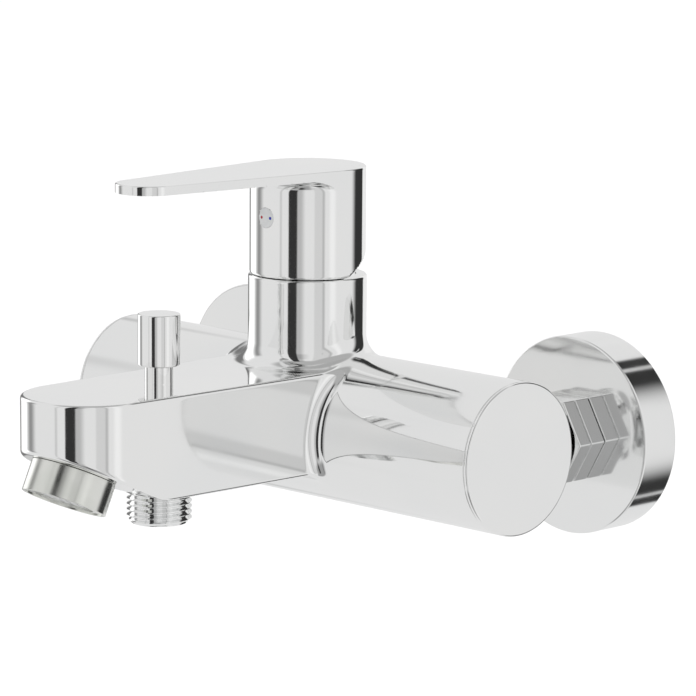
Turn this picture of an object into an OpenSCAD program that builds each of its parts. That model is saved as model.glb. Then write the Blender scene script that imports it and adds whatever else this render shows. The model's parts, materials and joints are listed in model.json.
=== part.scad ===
// Wall mounted single-lever bath faucet with a pull-up diverter and a shower outlet.
// The wall plane is Y = 0 and the faucet stands out from it towards -Y. +Z is up, X runs along the
// body. The origin lies on the wall, midway between the two inlets. Millimetres throughout.

/* [Installation] */
// Distance between the hot and cold inlets
inlet_spacing = 150; // [146:1:156]
// Outer diameter of the half-inch parallel pipe thread
pipe_thread_d = 20.955; // [20.955]
// Length of the threaded stud that enters the wall fitting
stud_length = 22; // [15:1:30]
// Diameter of the wall rosettes
rosette_d = 65.2; // [60:0.2:70]
// Depth of the wall rosettes
rosette_depth = 14.9; // [14:0.1:15.5]
// Width across flats of the union nuts
nut_width = 27; // [27:1:30]

/* [Body] */
// Diameter of the horizontal body tube
body_d = 49.6; // [48:0.2:52]
// Length of the body over its end caps
body_length = 184.4; // [182:0.2:200]
// Distance of the body tube's axis from the wall
body_distance = 57.4; // [57:0.2:60]
// Diameter of the upright neck
neck_d = 39.2; // [38:0.2:42]
// Distance of the neck's axis from the wall
neck_distance = 62; // [61:0.2:64]
// Height of the neck's rim above the inlets
neck_top = 49.8; // [49.8]

/* [Spout] */
// Distance of the spout's nose from the wall
spout_reach = 179.3; // [178:0.1:185]
// Width of the spout at its nose
spout_width = 43.6; // [42:0.2:46]
// Angle by which each side of the spout opens towards the body
spout_taper = 1.6; // [0:0.1:2]
// Height of the spout's flat top
spout_top = 21.3; // [21.3]
// Height of the spout's flat underside
spout_bottom = -11.9; // [-11.9]
// Distance from the wall at which the underside starts to rise
slope_start = 144.8; // [144:0.2:146]
// Angle by which the underside rises towards the nose
slope_angle = 25.2; // [24:0.2:26]

/* [Aerator] */
// Diameter of the aerator housing
aerator_d = 27.6; // [26:0.2:28.4]
// Length of the aerator housing below the spout
aerator_length = 10.4; // [9:0.2:12]
// Distance of the aerator's centre along the slope
aerator_along = 21.3; // [20.5:0.1:22]

/* [Handle] */
// Diameter of the handle's cylinder
handle_d = 38.2; // [38:0.1:38.8]
// Height of the lever's top face above the inlets
handle_top = 86; // [84:0.5:90]
// Distance of the lever's tip from the wall
lever_reach = 143; // [130:1:160]
// Diameter of the lever's round tip
lever_tip_d = 21.4; // [16:0.2:26]
// Thickness of the lever plate
lever_thickness = 3; // [2.5:0.1:4]
// Largest angle through which the lever lifts
lift_angle = 25; // [25]

/* [Diverter] */
// Distance of the diverter's axis from the wall
diverter_distance = 128; // [127.5:0.1:128.5]
// Diameter of the diverter knob
knob_d = 13.7; // [12:0.1:16]
// Height of the knob's underside when it is down
knob_bottom = 27; // [27]
// Length of the knob
knob_length = 16.7; // [14:0.1:20]
// Height of the lower end of the shower outlet
outlet_bottom = -24; // [-32:0.5:-22]

/* [Hidden] */
$fn = 96;
FACE_OVERLAP = 1;
STATIC_GAP = 0.05;
RUNNING_GAP = 0.05;

// Body tube
inlet_x = inlet_spacing / 2;
body_r = body_d / 2;
body_y = -body_distance;
cap_thickness = 1.4;
tube_end = body_length / 2 - cap_thickness;
chamber_r = body_r - 3.5;
chamber_start = 16;
inlet_boss_r = 12;
inlet_boss_y = -28.7;

// Neck and the cartridge seat inside it
neck_r = neck_d / 2;
neck_y = -neck_distance;
neck_flare_r = 4.5;
seat_z = 20;
seat_r = 14.05;
mouth_r = 16;
mouth_z = 40;

// Spout
nose_r = spout_width / 2;
nose_y = -spout_reach + nose_r;
slope_y = -slope_start;
spout_wall = 3.5;
cavity_top = spout_top - spout_wall;

// Connection at the wall
stud_r = pipe_thread_d / 2;
union_thread_r = 11.45;
union_bore_r = 7.5;
union_end_y = -22.5;
nut_wall_y = -rosette_depth - 0.2;
nut_front_y = -27.2;
nut_groove_y = -21.7;
washer_y = -24;
flange_y = -26;
tail_r = 9.6;
tail_bore_r = 6.8;

// Cartridge, heights measured from the inlets
port_x = 6.5;
port_back = 4;
port_r = 2.8;
mixed_port_front = 6.5;
mixed_port_r = 3.6;
gasket_top = 21;
base_top = 27;
fixed_disc_top = 31;
moving_disc_top = 34.5;
carrier_top = 40;
turret_flange_z = 40.3;
turret_flange_top = 43;
housing_top = 45;
housing_r = 13.95;
housing_bore_r = 12.15;
turret_r = 9.5;
turret_top = 54.5;
pivot_z = 52;
pivot_pin_r = 1.5;
stem_ball_z = 38.5;
stem_ball_r = 3.4;
stem_x = 3.9;
stem_y = 3.5;
stem_top = 75;
disc_r = 8;
disc_rest_shift = 2.9;

// Handle
handle_r = handle_d / 2;
handle_bottom = neck_top + 0.5;
handle_bore_r = 16.6;
lever_underside = handle_top - lever_thickness;
tip_r = lever_tip_d / 2;
tip_y = -lever_reach + tip_r;
hub_r = 8.5;
hub_bottom = 59;
screw_z = 70.1;
screw_r = 2.5;
indicator_r = 3.35;
dot_r = 0.5;
dot_x = 2;

// Diverter, heights measured from the inlets
diverter_y = -diverter_distance;
spout_boss_r = 4.6;
spout_boss_top = knob_bottom + 0.8;
rod_r = 2.5;
divert_chamber_r = 10.5;
lower_seat_z = -4;
web_z = 8.5;
web_top = 10.5;
guide_bottom = 13;
guide_top = 19;
guide_r = 6.5;
valve_bottom = lower_seat_z + STATIC_GAP;
valve_top = 0.5;
spring_bottom = 1.3;
outlet_spigot_r = 9.6;
outlet_bore_r = 7;

// Aerator: its axis leaves the middle of the sloping underside at right angles
aerator_r = aerator_d / 2;
aerator_y = slope_y - aerator_along * cos(slope_angle);
aerator_z = spout_bottom + aerator_along * sin(slope_angle);
aerator_thread_r = 11.9;
aerator_thread_length = 6;
aerator_bore_r = 10.6;
aerator_feed_r = 10;

// ---------- shared shapes ----------

// Cylinder along X from x0 to x1
module x_cylinder(r, x0, x1) {
    translate([x0, 0, 0]) rotate([0, 90, 0]) cylinder(r = r, h = x1 - x0);
}

// Cylinder along Y from y0 up to y1
module y_cylinder(r, y0, y1) {
    translate([0, y1, 0]) rotate([90, 0, 0]) cylinder(r = r, h = y1 - y0);
}

// Cylinder along Z from z0 up to z1
module z_cylinder(r, z0, z1) {
    translate([0, 0, z0]) cylinder(r = r, h = z1 - z0);
}

// Round tube along Z
module z_tube(r, bore, z0, z1) {
    difference() {
        z_cylinder(r, z0, z1);
        z_cylinder(bore, z0 - FACE_OVERLAP, z1 + FACE_OVERLAP);
    }
}

// Round tube along Y
module y_tube(r, bore, y0, y1) {
    difference() {
        y_cylinder(r, y0, y1);
        y_cylinder(bore, y0 - FACE_OVERLAP, y1 + FACE_OVERLAP);
    }
}

// Hexagon along Y with two corners on the X axis
module y_hexagon(width, y0, y1) {
    translate([0, y1, 0]) rotate([90, 0, 0])
        cylinder(r = width / 2 / cos(30), h = y1 - y0, $fn = 6);
}

// Rubber ring lying flat, around Z
module seal_ring(middle_r, wire_r, z) {
    translate([0, 0, z]) rotate_extrude() translate([middle_r, 0]) circle(r = wire_r, $fn = 32);
}

// Concave skirt that joins an upright cylinder of radius r to a flat face at z
module skirt(r, flare, z) {
    translate([0, 0, z]) rotate_extrude() difference() {
        translate([r - 0.5, -0.5]) square([flare + 0.5, flare + 0.5]);
        translate([r + flare, flare]) circle(r = flare);
    }
}

// Places a shape on both inlet axes
module at_inlets() {
    for (side = [-1, 1]) translate([side * inlet_x, 0, 0]) children();
}

module at_neck() {
    translate([0, neck_y, 0]) children();
}

module at_diverter() {
    translate([0, diverter_y, 0]) children();
}

// Local +Z points out of the aerator, away from the spout
module at_aerator() {
    translate([0, aerator_y, aerator_z]) rotate([180 - slope_angle, 0, 0]) children();
}

// The three ports that every layer of the cartridge shares
module cartridge_ports(z0, z1) {
    for (side = [-1, 1]) translate([side * port_x, port_back, 0]) z_cylinder(port_r, z0, z1);
    translate([0, -mixed_port_front, 0]) z_cylinder(mixed_port_r, z0, z1);
}

// ---------- body casting ----------

module spout_plan() {
    side_y = nose_y - nose_r * sin(spout_taper);
    side_x = nose_r * cos(spout_taper);
    rear_x = side_x + (body_y - side_y) * tan(spout_taper);
    translate([0, nose_y]) circle(r = nose_r);
    polygon([[-side_x, side_y], [side_x, side_y], [rear_x, body_y], [-rear_x, body_y]]);
}

module spout_outside() {
    difference() {
        translate([0, 0, spout_bottom])
            linear_extrude(spout_top - spout_bottom) spout_plan();
        translate([0, slope_y, spout_bottom]) rotate([-slope_angle, 0, 0])
            translate([-spout_width, -2 * spout_width, -spout_width])
                cube([2 * spout_width, 2 * spout_width, spout_width]);
    }
}

module casting_outside() {
    translate([0, body_y, 0]) x_cylinder(body_r, -tube_end, tube_end);
    at_neck() z_cylinder(neck_r, 0, neck_top);
    at_neck() intersection() {
        skirt(neck_r, neck_flare_r, spout_top);
        translate([-body_d, -body_d, 0]) cube([2 * body_d, body_d, neck_top]);
    }
    spout_outside();
    at_diverter() z_cylinder(spout_boss_r, spout_top - FACE_OVERLAP, spout_boss_top);
    at_inlets() y_cylinder(inlet_boss_r, body_y + chamber_r / 2, inlet_boss_y);
}

// Hot and cold chambers in the tube, open at its ends, and their inlets
module supply_passages() {
    for (side = [0, 180]) translate([0, body_y, 0]) rotate([0, 0, side])
        x_cylinder(chamber_r, chamber_start, tube_end + FACE_OVERLAP);
    at_inlets() y_cylinder(tail_r, body_y, inlet_boss_y + FACE_OVERLAP);
    for (side = [-1, 1]) translate([side * port_x, neck_y + port_back, 0])
        z_cylinder(port_r, 4, seat_z + FACE_OVERLAP);
    translate([0, neck_y + port_back, 6]) {
        x_cylinder(port_r, port_x, chamber_start + FACE_OVERLAP);
        x_cylinder(port_r, -chamber_start - FACE_OVERLAP, -port_x);
    }
}

// Mixed water from the cartridge seat to the diverter chamber
module mixed_passages() {
    cavity_back = -86;
    cavity_front = -114.5;
    cavity_x = nose_r - spout_wall;
    translate([0, neck_y - mixed_port_front, 0])
        z_cylinder(mixed_port_r, 2, seat_z + FACE_OVERLAP);
    translate([0, 0, 4]) y_cylinder(5, cavity_back - FACE_OVERLAP, neck_y - mixed_port_front);
    translate([-cavity_x, cavity_front, spout_bottom + spout_wall])
        cube([2 * cavity_x, cavity_back - cavity_front, cavity_top - spout_bottom - spout_wall]);
    translate([0, 0, 2]) y_cylinder(4.5, diverter_y, cavity_front + FACE_OVERLAP);
}

// Two rooms of the diverter with the web between them, and the way on to the aerator
module diverter_passages() {
    feed_z = 14;
    feed_r = 3.3;
    guide_boss_r = 8.6;
    at_diverter() {
        z_cylinder(outlet_spigot_r, spout_bottom - FACE_OVERLAP, lower_seat_z);
        z_cylinder(divert_chamber_r, lower_seat_z, web_z);
        z_cylinder(outlet_bore_r, web_z - FACE_OVERLAP, web_top + FACE_OVERLAP);
        difference() {
            z_cylinder(divert_chamber_r, web_top, cavity_top);
            z_cylinder(guide_boss_r, guide_bottom, cavity_top + FACE_OVERLAP);
        }
        z_cylinder(guide_r, web_top, guide_top);
        z_cylinder(rod_r + 0.1, guide_bottom, spout_boss_top + FACE_OVERLAP);
    }
    translate([0, 0, feed_z])
        y_cylinder(feed_r, aerator_y + 6, diverter_y - guide_boss_r - 0.4);
    at_aerator() {
        z_cylinder(aerator_thread_r, -aerator_thread_length - 1.6, FACE_OVERLAP);
        z_cylinder(aerator_feed_r, -17.5, 0);
    }
}

module cartridge_seat() {
    at_neck() {
        z_cylinder(seat_r, seat_z, mouth_z + FACE_OVERLAP);
        z_cylinder(mouth_r, mouth_z, neck_top + FACE_OVERLAP);
    }
}

module body_casting() {
    color("gainsboro") difference() {
        casting_outside();
        supply_passages();
        mixed_passages();
        diverter_passages();
        cartridge_seat();
    }
}

// ---------- end caps ----------

cap_spigot_r = chamber_r - STATIC_GAP;
cap_spigot_length = 6;
cap_seal_r = 0.9;

// A flat disc with a hollow spigot that plugs the tube
module end_cap() {
    groove_middle = tube_end - cap_spigot_length / 2;
    difference() {
        union() {
            x_cylinder(body_r, tube_end, tube_end + cap_thickness);
            x_cylinder(cap_spigot_r, tube_end - cap_spigot_length, tube_end + 0.5);
        }
        x_cylinder(cap_spigot_r - 3.5, tube_end - cap_spigot_length - FACE_OVERLAP, tube_end - 1);
        difference() {
            x_cylinder(body_r, groove_middle - cap_seal_r, groove_middle + cap_seal_r);
            x_cylinder(cap_spigot_r - 2 * cap_seal_r, 0, tube_end);
        }
    }
}

module end_cap_right() {
    color("gainsboro") translate([0, body_y, 0]) end_cap();
}

module end_cap_left() {
    color("gainsboro") translate([0, body_y, 0]) rotate([0, 0, 180]) end_cap();
}

module end_cap_seals() {
    color("dimgray") for (side = [-1, 1])
        translate([side * (tube_end - cap_spigot_length / 2), body_y, 0]) rotate([0, 90, 0])
            seal_ring(cap_spigot_r - cap_seal_r, cap_seal_r, 0);
}

// ---------- wall connection ----------

// Flanged tube screwed into the body, with the union nut captive on it
module inlet_tail() {
    difference() {
        union() {
            y_cylinder(tail_r, -37, flange_y);
            y_cylinder(union_thread_r - 0.5, flange_y, washer_y);
        }
        y_cylinder(tail_bore_r, -38, washer_y + FACE_OVERLAP);
    }
}

module inlet_tail_left() {
    color("darkkhaki") translate([-inlet_x, 0, 0]) inlet_tail();
}

module inlet_tail_right() {
    color("darkkhaki") translate([inlet_x, 0, 0]) inlet_tail();
}

// Hexagon nut in two bands with a fine groove between them
module union_nut() {
    groove_width = 0.5;
    difference() {
        y_hexagon(nut_width, nut_front_y, nut_wall_y);
        difference() {
            y_hexagon(nut_width + 2, nut_groove_y - groove_width / 2, nut_groove_y + groove_width / 2);
            y_hexagon(nut_width - 2 * groove_width, nut_front_y, nut_wall_y);
        }
        y_cylinder(union_thread_r + STATIC_GAP, flange_y, nut_wall_y + FACE_OVERLAP);
        y_cylinder(tail_r + 0.15, nut_front_y - FACE_OVERLAP, flange_y + FACE_OVERLAP);
    }
}

module union_nut_left() {
    color("silver") translate([-inlet_x, 0, 0]) union_nut();
}

module union_nut_right() {
    color("silver") translate([inlet_x, 0, 0]) union_nut();
}

module union_washers() {
    color("dimgray") at_inlets() y_tube(union_thread_r - 0.5, union_bore_r, washer_y, union_end_y);
}

// Perforated discs that sit in the washers and catch grit
module inlet_strainers() {
    hole_r = 0.7;
    ring_steps = [[0, 1], [2.6, 6], [5.2, 12]];
    color("silver") at_inlets() difference() {
        y_cylinder(union_bore_r - STATIC_GAP, washer_y + 0.4, washer_y + 0.8);
        for (ring = ring_steps) for (i = [0 : ring[1] - 1])
            rotate([0, i * 360 / ring[1], 0]) translate([ring[0], 0, 0])
                y_cylinder(hole_r, washer_y, union_end_y);
    }
}

module inlet_check_valves() {
    color("ivory") at_inlets() difference() {
        y_cylinder(tail_bore_r - STATIC_GAP, -36.5, -28);
        y_cylinder(5.2, -31, -27);
        y_cylinder(3.2, -38, -27);
    }
}

// Straight union: a half-inch stud into the wall, a hexagon and the thread for the union nut
module wall_union() {
    hexagon_width = 26;
    difference() {
        union() {
            y_cylinder(stud_r, 0, stud_length);
            y_hexagon(hexagon_width, -7, 0);
            y_cylinder(union_thread_r, union_end_y, -7);
        }
        y_cylinder(union_bore_r, union_end_y - FACE_OVERLAP, stud_length + FACE_OVERLAP);
    }
}

module wall_union_left() {
    color("silver") translate([-inlet_x, 0, 0]) wall_union();
}

module wall_union_right() {
    color("silver") translate([inlet_x, 0, 0]) wall_union();
}

// Deep round cover, open towards the wall
module rosette() {
    wall = 1.6;
    difference() {
        y_cylinder(rosette_d / 2, -rosette_depth, 0);
        y_cylinder(rosette_d / 2 - wall, -rosette_depth + wall, FACE_OVERLAP);
        y_cylinder(union_thread_r + 0.1, -rosette_depth - FACE_OVERLAP, FACE_OVERLAP);
    }
}

module rosette_left() {
    color("gainsboro") translate([-inlet_x, 0, 0]) rosette();
}

module rosette_right() {
    color("gainsboro") translate([inlet_x, 0, 0]) rosette();
}

// ---------- cartridge ----------

module cartridge_gasket() {
    color("dimgray") at_neck() difference() {
        z_cylinder(housing_bore_r - STATIC_GAP, seat_z, gasket_top);
        cartridge_ports(seat_z - FACE_OVERLAP, gasket_top + FACE_OVERLAP);
    }
}

module cartridge_base() {
    color("ivory") at_neck() difference() {
        z_cylinder(housing_bore_r - STATIC_GAP, gasket_top, base_top);
        cartridge_ports(gasket_top - FACE_OVERLAP, base_top + FACE_OVERLAP);
    }
}

module fixed_ceramic_disc() {
    color("white") at_neck() difference() {
        z_cylinder(housing_bore_r - STATIC_GAP, base_top, fixed_disc_top);
        cartridge_ports(base_top - FACE_OVERLAP, fixed_disc_top + FACE_OVERLAP);
    }
}

module cartridge_housing() {
    flange_top = 42;
    color("ivory") at_neck() difference() {
        union() {
            z_cylinder(housing_r, seat_z + 0.2, housing_top);
            z_cylinder(mouth_r - 0.1, mouth_z, flange_top);
        }
        z_cylinder(housing_bore_r, seat_z - FACE_OVERLAP, turret_flange_top + RUNNING_GAP);
        z_cylinder(turret_r + RUNNING_GAP, seat_z, housing_top + FACE_OVERLAP);
    }
}

// Threaded ring with four spanner slots that clamps the housing's flange
module cartridge_nut() {
    nut_bottom = 42;
    nut_top = 48.5;
    slot_width = 3;
    color("darkkhaki") at_neck() difference() {
        z_tube(mouth_r - STATIC_GAP, housing_r + 0.15, nut_bottom, nut_top);
        for (turn = [0, 90]) rotate([0, 0, turn])
            translate([-neck_d, -slot_width / 2, nut_top - 2]) cube([2 * neck_d, slot_width, 4]);
    }
}

// Shallow cap over the ring nut, with the turret standing through it
module trim_dome() {
    rim_r = mouth_r - 0.1;
    hole_r = turret_r + 0.6;
    color("gainsboro") at_neck() rotate_extrude()
        polygon([[hole_r, 51], [rim_r, 48.8], [rim_r, 50], [13.6, 51.5], [hole_r, 52.1]]);
}

module moving_ceramic_disc() {
    color("white") at_neck() translate([0, disc_rest_shift, 0]) difference() {
        z_cylinder(disc_r, fixed_disc_top + STATIC_GAP, moving_disc_top);
        z_cylinder(5.5, fixed_disc_top, fixed_disc_top + 1.5);
    }
}

// Rides on the moving disc and holds the ball of the stem in a pocket
module disc_carrier() {
    pocket_x = stem_ball_r + 0.1;
    pocket_y = stem_ball_r + 0.35;
    color("ivory") at_neck() difference() {
        translate([0, disc_rest_shift, 0]) z_cylinder(disc_r, moving_disc_top, carrier_top);
        translate([-pocket_x, -pocket_y, moving_disc_top + 0.3])
            cube([2 * pocket_x, 2 * pocket_y, carrier_top]);
    }
}

// Turns in the housing, carries the pivot pin, and is slotted for the stem
module cartridge_turret() {
    slot_x = stem_x + 0.1;
    slot_back = 5.8;
    color("ivory") at_neck() difference() {
        union() {
            z_cylinder(housing_bore_r - RUNNING_GAP, turret_flange_z, turret_flange_top);
            z_cylinder(turret_r, turret_flange_top - FACE_OVERLAP, turret_top);
        }
        translate([-slot_x, -turret_r - FACE_OVERLAP, turret_flange_z - FACE_OVERLAP])
            cube([2 * slot_x, turret_r + FACE_OVERLAP + slot_back, turret_top]);
        translate([0, 0, pivot_z]) x_cylinder(pivot_pin_r, -turret_r, turret_r);
    }
}

module pivot_pin() {
    half_length = sqrt(turret_r * turret_r - pivot_pin_r * pivot_pin_r) - 0.2;
    color("silver") at_neck() translate([0, 0, pivot_z])
        x_cylinder(pivot_pin_r, -half_length, half_length);
}

// Square bar that tilts on the pivot pin, with a ball that pushes the disc carrier
module cartridge_stem() {
    shoulder_z = 46;
    color("silver") at_neck() difference() {
        union() {
            translate([-stem_x, -stem_y, shoulder_z])
                cube([2 * stem_x, 2 * stem_y, stem_top - shoulder_z]);
            z_cylinder(2.4, stem_ball_z, shoulder_z + FACE_OVERLAP);
            translate([0, 0, stem_ball_z]) sphere(r = stem_ball_r);
        }
        translate([0, 0, pivot_z]) x_cylinder(pivot_pin_r + RUNNING_GAP, -turret_r, turret_r);
    }
}

// ---------- handle ----------

// Outline of the lever: the handle's circle and the tip's circle joined by tangents. The plate
// stands a hair outside the handle's cylinder, so that the two have no face in common.
module lever_plan() {
    overhang = 0.05;
    reach = neck_y - tip_y;
    tangent = asin((handle_r - tip_r) / reach);
    side = [cos(tangent), -sin(tangent)];
    big = [handle_r * side[0], handle_r * side[1]];
    small = [tip_r * side[0], tip_r * side[1] - reach];
    circle(r = handle_r + overhang);
    translate([0, -reach]) circle(r = tip_r);
    polygon([big, small, [-small[0], small[1]], [-big[0], big[1]]]);
}

// Cuts the rear of the handle's skirt at a slant, so that the lever can lift
module lift_relief() {
    relief_angle = lift_angle + 3;
    translate([-handle_d, 0, handle_bottom]) rotate([relief_angle, 0, 0])
        translate([0, -handle_d, -handle_d]) cube([2 * handle_d, 3 * handle_d, handle_d]);
}

module handle_lever() {
    socket_gap = 0.1;
    boss_r = 5;
    color("gainsboro") at_neck() difference() {
        union() {
            difference() {
                z_cylinder(handle_r, handle_bottom, lever_underside + FACE_OVERLAP);
                z_cylinder(handle_bore_r, handle_bottom - FACE_OVERLAP, lever_underside - 0.5);
            }
            translate([0, 0, lever_underside]) linear_extrude(lever_thickness) lever_plan();
            z_cylinder(hub_r, hub_bottom, lever_underside);
            translate([0, 0, screw_z]) y_cylinder(boss_r, -handle_bore_r - FACE_OVERLAP, -stem_y - 1);
        }
        lift_relief();
        translate([-stem_x - socket_gap, -stem_y - socket_gap, hub_bottom - FACE_OVERLAP])
            cube([2 * (stem_x + socket_gap), 2 * (stem_y + socket_gap),
                  stem_top + 0.5 - hub_bottom + FACE_OVERLAP]);
        translate([0, 0, screw_z]) {
            y_cylinder(screw_r, -handle_bore_r - FACE_OVERLAP, 0);
            y_cylinder(indicator_r, -handle_r - FACE_OVERLAP, -handle_bore_r - 0.3);
        }
    }
}

// Grub screw that clamps the handle to the stem
module handle_screw() {
    color("silver") at_neck() translate([0, 0, screw_z]) difference() {
        y_cylinder(screw_r - STATIC_GAP, -9.8, -stem_y);
        translate([0, -6.5, 0]) rotate([90, 0, 0]) cylinder(r = 1.4, h = 5, $fn = 6);
    }
}

// Plug over the screw's access hole, curved like the handle, with sockets for two dots
module indicator_cap() {
    color("whitesmoke") at_neck() difference() {
        intersection() {
            translate([0, 0, screw_z])
                y_cylinder(indicator_r - STATIC_GAP, -handle_r - FACE_OVERLAP, -handle_bore_r - 0.3);
            z_cylinder(handle_r + 0.05, handle_bottom, lever_underside);
        }
        for (side = [-1, 1]) translate([side * dot_x, 0, screw_z])
            y_cylinder(dot_r, -handle_r - FACE_OVERLAP, -handle_r + 1);
    }
}

module indicator_dot() {
    at_neck() intersection() {
        translate([0, 0, screw_z]) children();
        z_cylinder(handle_r + 0.1, handle_bottom, lever_underside);
    }
}

module hot_dot() {
    color("firebrick") indicator_dot()
        translate([-dot_x, 0, 0]) y_cylinder(dot_r, -handle_r - FACE_OVERLAP, -handle_r + 1);
}

module cold_dot() {
    color("royalblue") indicator_dot()
        translate([dot_x, 0, 0]) y_cylinder(dot_r, -handle_r - FACE_OVERLAP, -handle_r + 1);
}

// ---------- aerator ----------

module aerator_housing() {
    lip_r = 9.6;
    lip_z = aerator_length - 1.2;
    color("silver") at_aerator() difference() {
        union() {
            z_cylinder(aerator_r, STATIC_GAP, aerator_length);
            z_cylinder(aerator_thread_r - STATIC_GAP, -aerator_thread_length, FACE_OVERLAP);
        }
        z_cylinder(aerator_bore_r, -aerator_thread_length - FACE_OVERLAP, lip_z);
        z_cylinder(lip_r, 0, aerator_length + FACE_OVERLAP);
    }
}

// Cup whose floor is a sieve of round holes on three rings
module aerator_insert() {
    hole_r = 0.9;
    floor_z = aerator_length - 3.4;
    ring_steps = [[0, 1], [2.7, 6], [5.4, 12], [8.1, 18]];
    color("whitesmoke") at_aerator() difference() {
        z_cylinder(aerator_bore_r - STATIC_GAP, -5, aerator_length - 1.2);
        z_cylinder(9.2, -6, floor_z);
        for (ring = ring_steps) for (i = [0 : ring[1] - 1])
            rotate([0, 0, i * 360 / ring[1]]) translate([ring[0], 0, 0])
                z_cylinder(hole_r, 0, aerator_length);
    }
}

module aerator_screen() {
    hole_r = 0.8;
    ring_steps = [[0, 1], [3.2, 6], [6.4, 12]];
    color("silver") at_aerator() difference() {
        z_cylinder(aerator_bore_r - STATIC_GAP, -5.6, -5);
        for (ring = ring_steps) for (i = [0 : ring[1] - 1])
            rotate([0, 0, i * 360 / ring[1]]) translate([ring[0], 0, 0])
                z_cylinder(hole_r, -7, -4);
    }
}

module aerator_gasket() {
    color("dimgray") at_aerator()
        z_tube(aerator_thread_r - STATIC_GAP, 9.2, -aerator_thread_length - 1.6, -aerator_thread_length);
}

// ---------- diverter ----------

guide_seal_wire_r = 0.9;
guide_seal_z = 16;

// Bush screwed up into the spout, which guides and seals the rod
module diverter_guide() {
    color("darkkhaki") at_diverter() difference() {
        z_tube(guide_r, rod_r + RUNNING_GAP, guide_bottom, guide_top);
        z_cylinder(rod_r + RUNNING_GAP + 2 * guide_seal_wire_r,
                   guide_seal_z - guide_seal_wire_r, guide_seal_z + guide_seal_wire_r);
    }
}

module guide_seal() {
    color("dimgray") at_diverter()
        seal_ring(rod_r + RUNNING_GAP + guide_seal_wire_r, guide_seal_wire_r, guide_seal_z);
}

knob_screw_z = knob_bottom + 6;
knob_screw_r = 1.5;
rod_top = knob_bottom + 12;

// The knob's recess hides the top of the spout's boss while the knob is down
module diverter_knob() {
    knob_r = knob_d / 2;
    edge = 0.4;
    recess_depth = 1;
    recess_gap = 0.2;
    color("gainsboro") at_diverter() difference() {
        translate([0, 0, knob_bottom]) rotate_extrude() polygon([
            [0, 0], [knob_r - edge, 0], [knob_r, edge], [knob_r, knob_length - edge],
            [knob_r - edge, knob_length], [0, knob_length]]);
        z_cylinder(rod_r, knob_bottom - FACE_OVERLAP, rod_top);
        z_cylinder(spout_boss_r + recess_gap, knob_bottom - FACE_OVERLAP, knob_bottom + recess_depth);
        translate([0, 0, knob_screw_z]) y_cylinder(knob_screw_r, 0, knob_d);
    }
}

module knob_screw() {
    color("silver") at_diverter() translate([0, 0, knob_screw_z])
        y_cylinder(knob_screw_r, rod_r, knob_d / 2 - 0.5);
}

// Rod with a flange that backs the valve and seats the spring
module diverter_rod() {
    color("silver") at_diverter() {
        z_cylinder(rod_r, -7, rod_top);
        z_cylinder(6.2, valve_top, spring_bottom);
    }
}

module diverter_valve() {
    color("darkkhaki") at_diverter() z_tube(7.4, rod_r, -2.4, -0.9);
}

// Lower washer closes the shower outlet, upper washer closes the way to the spout
module valve_seals() {
    color("dimgray") at_diverter() {
        z_tube(8.5, rod_r, valve_bottom, -2.4);
        z_tube(8.5, rod_r, -0.9, valve_top);
    }
}

module valve_nut() {
    color("silver") at_diverter() difference() {
        translate([0, 0, -6.4]) cylinder(r = 4.4, h = valve_bottom + 6.4, $fn = 6);
        z_cylinder(rod_r, -8, 0);
    }
}

// Points of one ring of the spring's wire, at the given share of its height
function wire_ring(share, turns, coil_r, wire_r, z0, z1, sides) =
    let (turn = share * turns * 360, z = z0 + share * (z1 - z0))
    [for (i = [0 : sides - 1])
        let (a = i * 360 / sides, r = coil_r + wire_r * cos(a))
        [r * cos(turn), r * sin(turn), z + wire_r * sin(a)]];

module diverter_spring() {
    sides = 8;
    rings = 80;
    coil_r = 4.9;
    wire_r = 0.35;
    turns = 4.5;
    z0 = spring_bottom + wire_r + STATIC_GAP;
    z1 = guide_bottom - wire_r - STATIC_GAP;
    points = [for (k = [0 : rings])
        each wire_ring(k / rings, turns, coil_r, wire_r, z0, z1, sides)];
    walls = [for (k = [0 : rings - 1], i = [0 : sides - 1])
        let (j = (i + 1) % sides)
        [k * sides + i, (k + 1) * sides + i, (k + 1) * sides + j, k * sides + j]];
    first_end = [for (i = [0 : sides - 1]) i];
    last_end = [for (i = [sides - 1 : -1 : 0]) rings * sides + i];
    color("silver") at_diverter()
        polyhedron(points = points, faces = concat(walls, [first_end, last_end]));
}

// ---------- shower outlet ----------

outlet_seal_wire_r = 0.9;
outlet_seal_z = -8.5;

// Nipple with the half-inch hose thread below and a spigot screwed up into the spout
module shower_outlet() {
    color("silver") at_diverter() difference() {
        union() {
            z_cylinder(stud_r, outlet_bottom, spout_bottom);
            z_cylinder(outlet_spigot_r, spout_bottom - FACE_OVERLAP, lower_seat_z);
        }
        z_cylinder(outlet_bore_r, outlet_bottom - FACE_OVERLAP, lower_seat_z + FACE_OVERLAP);
        z_tube(stud_r, outlet_spigot_r - 2 * outlet_seal_wire_r,
               outlet_seal_z - outlet_seal_wire_r, outlet_seal_z + outlet_seal_wire_r);
    }
}

module outlet_seal() {
    color("dimgray") at_diverter()
        seal_ring(outlet_spigot_r - outlet_seal_wire_r, outlet_seal_wire_r, outlet_seal_z);
}

module outlet_check_valve() {
    valve_r = outlet_bore_r - STATIC_GAP;
    color("ivory") at_diverter() difference() {
        z_cylinder(valve_r, outlet_bottom + 2, -12);
        z_cylinder(5.4, outlet_bottom, -19);
        z_cylinder(3, outlet_bottom, -11);
    }
}

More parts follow.
